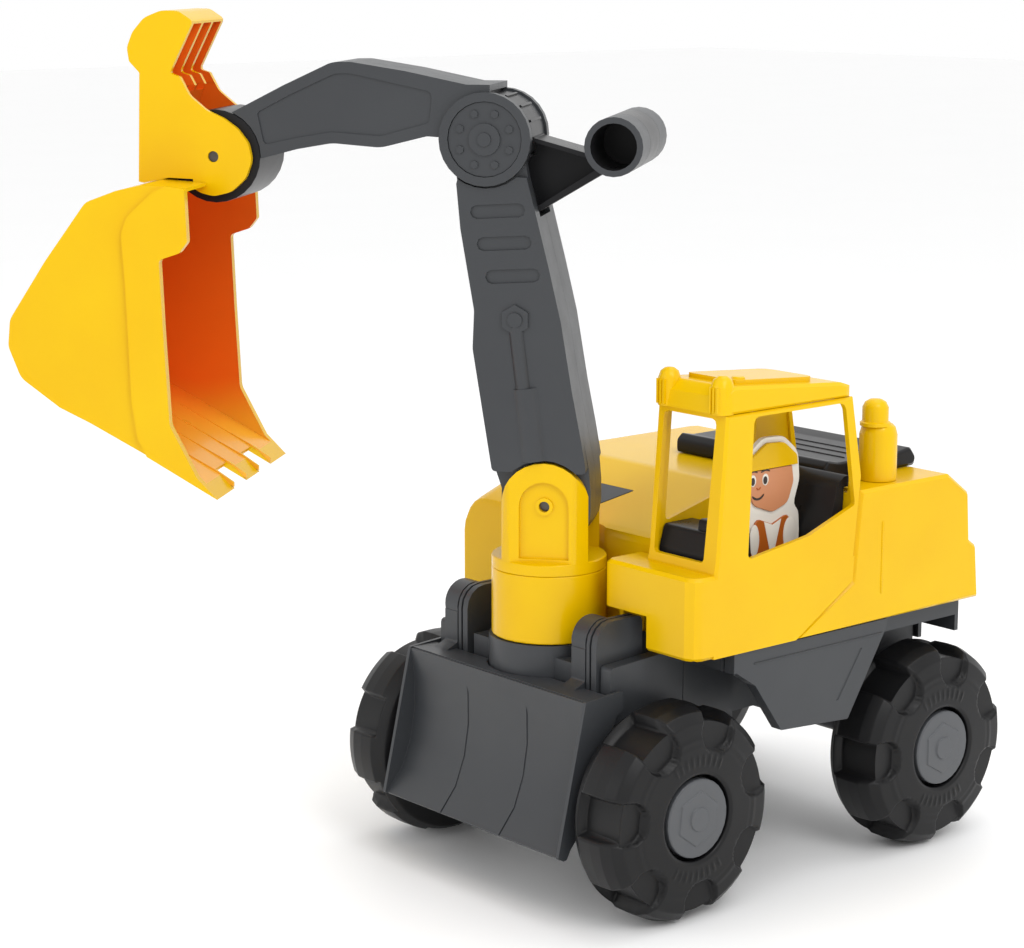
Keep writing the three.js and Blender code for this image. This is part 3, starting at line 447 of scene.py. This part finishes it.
def tyre_points(settings, phase):
    """A tyre about its own axis: radius, angle and distance outwards for every grid point.

    The section is carried round the axle. Inside each pocket the tread is lowered to the floor radius, and
    the sidewall is sunk to the lobe's floor. A pocket's edge is a straight run that ends in a half circle.
    """
    section = [
        (5.2, -27), (12, -27), (12, 12), (58, 12), (65, 5), (65, -17), (40, -21.6), (40, -26.2), (62, -26.2),
        (74, -21.8), (79.6, -12), (80, 0), (79.6, 10), (76.4, 19), (70, 24.4), (52, 26.8), (34.4, 27.8),
        (31.8, 26.6), (31.8, 16), (5.2, 16),
    ]
    loop = resampled(rounded_loop(np.array(section) * MM, 3 * MM, 4), 1.7 * MM)
    r, w = loop[:, 0][None, :], loop[:, 1][None, :]
    angle = (np.arange(TYRE_STEPS) / TYRE_STEPS * 2 * np.pi)[:, None]
    turn = 2 * np.pi / TYRE_TURNS
    off = (angle - phase + turn / 2) % turn - turn / 2
    side = r * np.sin(off)
    straight = np.abs(side) - settings.pocket_half
    lobe = np.hypot(side, r - settings.lobe_r) - settings.pocket_half
    edge = np.where(r > settings.lobe_r, straight, lobe)
    edge = np.maximum(edge, TREAD_INNER - w)
    outer = (r > 42 * MM) & ((w > 20 * MM) | (r > 69 * MM))
    inside = (1 - smoothstep(edge, -settings.wall / 2, settings.wall / 2)) * outer
    radius = r - inside * np.maximum(r - settings.floor_r, 0)
    out = w - inside * np.maximum(w - settings.sink, 0) + 0 * angle
    # Two fans of short ribs above and below the hub, each one a low rounded bar.
    tick = np.cos(angle * 48)
    fan = smoothstep(np.abs(np.sin(angle)), 0.8, 0.86)
    band = smoothstep(r, 38.5 * MM, 39.5 * MM) * (1 - smoothstep(r, 45.5 * MM, 46.5 * MM)) * (w > 24 * MM)
    out = out + settings.rib * smoothstep(tick, 0.0, 0.5) * fan * band
    ring = smoothstep(r, 56 * MM, 57 * MM) * (1 - smoothstep(r, 58 * MM, 59 * MM))
    ring = ring * (w > 24 * MM) * (1 - inside)
    out = out + 0.4 * MM * ring
    return radius + 0 * angle, angle + 0 * radius, out


def build_tyre(corner, side, phase):
    centre = JOINTS["wheel_spin_" + corner]["pos_m"]
    r, angle, out = tyre_points(bpy.context.scene.digger_tyre, phase)
    points = np.stack([
        centre[0] + r * np.cos(angle),
        centre[1] + side * out,
        centre[2] + r * np.sin(angle),
    ], -1)
    mesh = grid_mesh("tyre_skin_" + corner, points, True, True)
    tyre = new_piece("tyre_skin_" + corner, mesh, "wheel_" + corner, "tyre")
    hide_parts("tyre_" + corner)


# ------------------------------------------------------------------ small turned and flat pieces
def bead(name, path, radius, body, look):
    """A low moulded line: a circle of the given radius, in mm, swept along a path in the digger's frame."""
    line = np.array([spot(*p) for p in path])
    run = np.gradient(line, axis=0)
    run /= np.linalg.norm(run, axis=1)[:, None]
    u = np.cross(run, (0.31, 0.17, 0.93))
    u /= np.linalg.norm(u, axis=1)[:, None]
    v = np.cross(run, u)
    t = (np.arange(10) / 10 * 2 * np.pi)[None, :, None]
    swell = np.ones(len(path))
    swell[[0, -1]] = 0.4
    size = (radius * MM * swell)[:, None, None]
    points = line[:, None] + size * (np.cos(t) * u[:, None] + np.sin(t) * v[:, None])
    return new_piece(name, grid_mesh(name, points, False, True, (0, -1)), body, look)


def flat_print(name, outline, y, thick, look):
    """A thin printed shape on the driver: its outline in the plane of the figure, given a small thickness."""
    outline = np.asarray(outline, float)
    middle = outline.mean(axis=0)
    rows = []
    for grow, height in ((1.0, 0.0), (1.0, thick * 0.6), (0.93, thick)):
        ring = middle + (outline - middle) * grow
        rows.append([spot(x, y + height, z) for x, z in ring])
    points = np.array(rows)
    mesh = grid_mesh(name, points, False, True, (0, -1))
    smooth_by_angle(mesh, 40)
    return new_piece(name, mesh, "chassis", look)


def ellipse(x, z, a, b, n=24):
    t = np.linspace(0, 2 * np.pi, n, endpoint=False)
    return np.stack([x + a * np.cos(t), z + b * np.sin(t)], -1)


def arc_band(x, z, r, start, end, half, n=14):
    """A curved stroke: an arc about (x, z) with rounded width."""
    t = np.radians(np.linspace(start, end, n))
    swell = half * np.sqrt(np.clip(1 - np.linspace(-1, 1, n) ** 4, 0.04, 1))
    outer = np.stack([x + (r + swell) * np.cos(t), z + (r + swell) * np.sin(t)], -1)
    inner = np.stack([x + (r - swell) * np.cos(t), z + (r - swell) * np.sin(t)], -1)
    return np.vstack([outer, inner[::-1]])


# ------------------------------------------------------------------ operators
SIDES = (("left", 1), ("right", -1))
FIGURE_TOP = 111.75   # height of the printed layers, out from the digger's middle


CAMERA_PLACE = (1294.24, 1443.72, 688.4)   # millimetres in the digger's own frame
CAMERA_YAW = 229.71
CAMERA_PITCH = 11.27
CAMERA_LENS = 92.72
FLOOR_HALF = 12.0
# Each lamp's name, place about the digger's middle, size and power.
LAMPS = (
    ("key", (0.4, 2.1, 2.2), 1.6, 26.0),
    ("side", (2.4, -0.6, 1.2), 1.4, 7.0),
    ("top", (-0.6, 0.2, 2.6), 1.8, 12.0),
)


class DIGGER_OT_stage(bpy.types.Operator):
    """Pale floor, soft lights and the camera"""
    bl_idname = "digger.stage"
    bl_label = "Stage"

    def execute(self, context):
        scene = context.scene
        camera = bpy.data.objects.new("camera", bpy.data.cameras.new("camera"))
        scene.collection.objects.link(camera)
        scene.camera = camera
        camera.data.sensor_width = 36.0
        camera.data.lens = CAMERA_LENS
        camera.data.clip_end = 50.0
        camera.location = spot(*CAMERA_PLACE)
        yaw, pitch = math.radians(CAMERA_YAW), math.radians(CAMERA_PITCH)
        look = Vector((math.cos(pitch) * math.cos(yaw), math.cos(pitch) * math.sin(yaw), -math.sin(pitch)))
        camera.rotation_euler = look.to_track_quat("-Z", "Y").to_euler()

        span = np.linspace(-FLOOR_HALF, FLOOR_HALF, 9)
        x, y = np.meshgrid(span, span, indexing="ij")
        floor_mesh = grid_mesh("floor", np.stack([x, y, 0 * x], -1), False, False)
        floor = bpy.data.objects.new("floor", floor_mesh)
        scene.collection.objects.link(floor)
        paint = Paint("pale_floor")
        floor_mesh.materials.append(paint.set(
            colour=paint.mix(paint.noise(3.0), (0.96, 0.96, 0.96, 1), (0.98, 0.98, 0.98, 1)),
            roughness=paint.noise(20.0) * 0.1 + 0.5))

        world = bpy.data.worlds.new("studio") if scene.world is None else scene.world
        scene.world = world
        world.use_nodes = True
        world.node_tree.nodes["Background"].inputs["Color"].default_value = (1.0, 1.0, 1.0, 1)
        world.node_tree.nodes["Background"].inputs["Strength"].default_value = 1.0
        middle = spot(20, 0, 280)
        for name, place, size, power in LAMPS:
            data = bpy.data.lights.new(name, "AREA")
            data.shape = "DISK"
            data.size = size
            data.energy = power
            lamp = bpy.data.objects.new(name, data)
            lamp.location = Vector(place) + Vector((middle.x, middle.y, 0))
            lamp.rotation_euler = (middle - lamp.location).to_track_quat("-Z", "Y").to_euler()
            scene.collection.objects.link(lamp)
        scene.view_settings.view_transform = "Standard"
        return {"FINISHED"}


class DIGGER_OT_chassis(bpy.types.Operator):
    """Grey chassis, carrier, side skirts, blade and hood vent"""
    bl_idname = "digger.chassis"
    bl_label = "Chassis"

    def execute(self, context):
        for node in ("chassis_frame", "front_carrier", "side_skirt_left", "side_skirt_right", "dozer_blade"):
            moulded(node, edges().frame)
        moulded("hood_vent", edges().small)
        for word, side in SIDES:
            ledge = [(x, side * 148.0, 180.0) for x in (-34, -35, -60, -90, -120, -150, -171, -172)]
            bead("skirt_ledge_" + word, ledge, 0.8, "chassis", "dark")
        return {"FINISHED"}


class DIGGER_OT_body(bpy.types.Operator):
    """Yellow hood, cab, roof and exhaust"""
    bl_idname = "digger.body"
    bl_label = "Body"

    def execute(self, context):
        moulded("body_shell", edges().shell, sharp=38)
        moulded("cab_shell", edges().shell, sharp=38)
        moulded("cab_roof", edges().small * 2, sharp=38)
        moulded("exhaust_stack", edges().small * 2, sharp=50)
        for word, side in SIDES:
            rib = [(-166, side * 151.0, z) for z in (212, 213, 225, 240, 255, 267, 268)]
            bead("side_rib_" + word, rib, 1.0, "chassis", "yellow")
        return {"FINISHED"}


class DIGGER_OT_seat(bpy.types.Operator):
    """Black saddle and the moulded cab inside"""
    bl_idname = "digger.seat"
    bl_label = "Saddle"

    def execute(self, context):
        moulded("ride_seat", edges().shell, sharp=50)
        for x in (-178, -193, -208):
            crease = [(x, y, 306.9) for y in (-38, -37, 0, 40, 80, 99, 100)]
            bead("saddle_ridge_%d" % -x, crease, 0.8, "chassis", "black")
        moulded("cab_interior", edges().frame, sharp=50)
        return {"FINISHED"}


class DIGGER_OT_driver(bpy.types.Operator):
    """Flat printed driver with a plain doll's face"""
    bl_idname = "digger.driver"
    bl_label = "Driver"

    def execute(self, context):
        for node in ("driver_plate", "driver_face", "driver_helmet", "driver_vest"):
            moulded(node, edges().small, sharp=50)
        for word, x, z in (("front", -66.5, 305.2), ("rear", -79.5, 304.8)):
            flat_print("eye_white_" + word, ellipse(x, z, 3.2, 4.4), FIGURE_TOP, 0.5, "white")
            flat_print("eye_" + word, ellipse(x + 0.5, z - 0.4, 2.1, 3.0), FIGURE_TOP + 0.4, 0.5, "ink")
            flat_print("brow_" + word, arc_band(x, z - 1, 8.2, 55, 125, 0.7), FIGURE_TOP, 0.5, "ink")
        shirt = [(-97, 273), (-88, 269.5), (-79, 273), (-86, 248), (-90, 248)]
        flat_print("shirt", shirt, FIGURE_TOP, 0.4, "white")
        flat_print("sleeve_rear", ellipse(-106, 260, 6.5, 13), FIGURE_TOP, 0.5, "white")
        flat_print("sleeve_front", ellipse(-69, 260, 5, 12), FIGURE_TOP, 0.5, "white")
        flat_print("smile", arc_band(-72, 298.5, 7.6, 214, 322, 0.8), FIGURE_TOP, 0.5, "ink")
        flat_print("nose", arc_band(-72.6, 300.2, 2.0, 190, 350, 0.5), FIGURE_TOP, 0.5, "vest")
        return {"FINISHED"}


class DIGGER_OT_wheels(bpy.types.Operator):
    """Tyres with lug pockets, and the grey hub caps"""
    bl_idname = "digger.wheels"
    bl_label = "Wheels"

    def execute(self, context):
        for corner, side, phase in (
            ("front_left", 1, 7), ("front_right", -1, 20), ("rear_left", 1, 0), ("rear_right", -1, 33),
        ):
            build_tyre(corner, side, math.radians(phase))
            moulded("hub_cap_" + corner, edges().small, sharp=45)
        return {"FINISHED"}


class DIGGER_OT_mast(bpy.types.Operator):
    """Yellow sleeve and clevis that swing on the post"""
    bl_idname = "digger.mast"
    bl_label = "Mast"

    def execute(self, context):
        moulded("mast_sleeve", edges().frame)
        moulded("turret_clevis", edges().frame)
        return {"FINISHED"}


class DIGGER_OT_boom(bpy.types.Operator):
    """Boom halves, arm halves, joint caps, lever and grip tube"""
    bl_idname = "digger.boom"
    bl_label = "Boom and arm"

    def execute(self, context):
        for node in ("boom_half_left", "boom_half_right", "arm_half_left", "arm_half_right"):
            moulded(node, edges().frame * 1.3)
        for node in ("arm_knuckle", "lever_bracket"):
            moulded(node, edges().frame)
        tube = moulded("handle_tube", edges().frame)
        # Painted shade: the faces inside the tube's bore take the black look.
        line_inside(tube, "black", ellipse(-55.7, 552.7, 16.4, 16.4), 61)
        for node in ("joint_cap_left", "joint_cap_right"):
            moulded(node, edges().small)
        return {"FINISHED"}


# The bucket's cavity and its grip, as outlines in the boom plane: distance from the mast, height. The faces
# that look into them take the painted glow.
BUCKET_CAVITY = [
    (247, 519), (281, 519.5), (299, 515), (321, 507), (352, 465), (380, 423), (382, 404), (373, 383),
    (345, 363), (322, 352.5), (279, 329.5), (230, 300), (243, 312), (262.6, 350), (265.6, 414),
    (267.6, 470), (247, 483),
]
CAVITY_HALF = 84.5
GRIP_SIDE = [
    (257, 523.6), (299, 521), (296.4, 600), (304, 608), (305.4, 629), (284, 644.6), (266, 644.4),
    (254.8, 637), (273.6, 599.6), (266, 597.4), (246.6, 573.6), (223.6, 560.6), (212.8, 538),
    (217.6, 524.6), (242, 511.2),
]
GRIP_MOUTH_HALF = 33.7


class DIGGER_OT_bucket(bpy.types.Operator):
    """Yellow bucket with its grip, with painted glow inside both"""
    bl_idname = "digger.bucket"
    bl_label = "Bucket"

    def execute(self, context):
        shell = moulded("bucket_shell", edges().frame)
        # Painted glow: the faces looking into the bucket's cavity take the painted glow and reflection.
        line_inside(shell, "inner", BUCKET_CAVITY, CAVITY_HALF)
        grip = moulded("bucket_grip", edges().frame)
        # Painted glow inside the grip's mouth as well.
        line_inside(grip, "inner", GRIP_SIDE, GRIP_MOUTH_HALF)
        return {"FINISHED"}


class DIGGER_OT_metal(bpy.types.Operator):
    """Steel axles, clips and pins"""
    bl_idname = "digger.metal"
    bl_label = "Pins and axles"

    def execute(self, context):
        for node, slot in SLOT_OF.items():
            if slot == "steel":
                moulded(node, edges().small * 0.6, sharp=50, segments=2)
        return {"FINISHED"}


OPERATORS = (
    DIGGER_OT_stage, DIGGER_OT_chassis, DIGGER_OT_body, DIGGER_OT_seat, DIGGER_OT_driver, DIGGER_OT_wheels,
    DIGGER_OT_mast, DIGGER_OT_boom, DIGGER_OT_bucket, DIGGER_OT_metal,
)


class DIGGER_PT_panel(bpy.types.Panel):
    bl_idname = "DIGGER_PT_panel"
    bl_label = "Digger"
    bl_space_type = "VIEW_3D"
    bl_region_type = "UI"
    bl_category = "Digger"

    def draw(self, context):
        for group in (context.scene.digger_finish, context.scene.digger_edges, context.scene.digger_tyre):
            box = self.layout.box()
            for key in group.__annotations__:
                box.prop(group, key)
        for operator in OPERATORS:
            self.layout.operator(operator.bl_idname)


GROUPS = {"digger_finish": DiggerFinish, "digger_edges": DiggerEdges, "digger_tyre": DiggerTyre}


def register():
    for group in (*GROUPS.values(), *OPERATORS, DIGGER_PT_panel):
        bpy.utils.register_class(group)
    for key, group in GROUPS.items():
        setattr(bpy.types.Scene, key, PointerProperty(type=group))


def unregister():
    for key in GROUPS:
        delattr(bpy.types.Scene, key)
    for group in (DIGGER_PT_panel, *reversed(OPERATORS), *GROUPS.values()):
        bpy.utils.unregister_class(group)


def main():
    register()
    for operator in OPERATORS:
        getattr(bpy.ops.digger, operator.bl_idname.split(".")[1])()


if __name__ == "__main__":
    main()
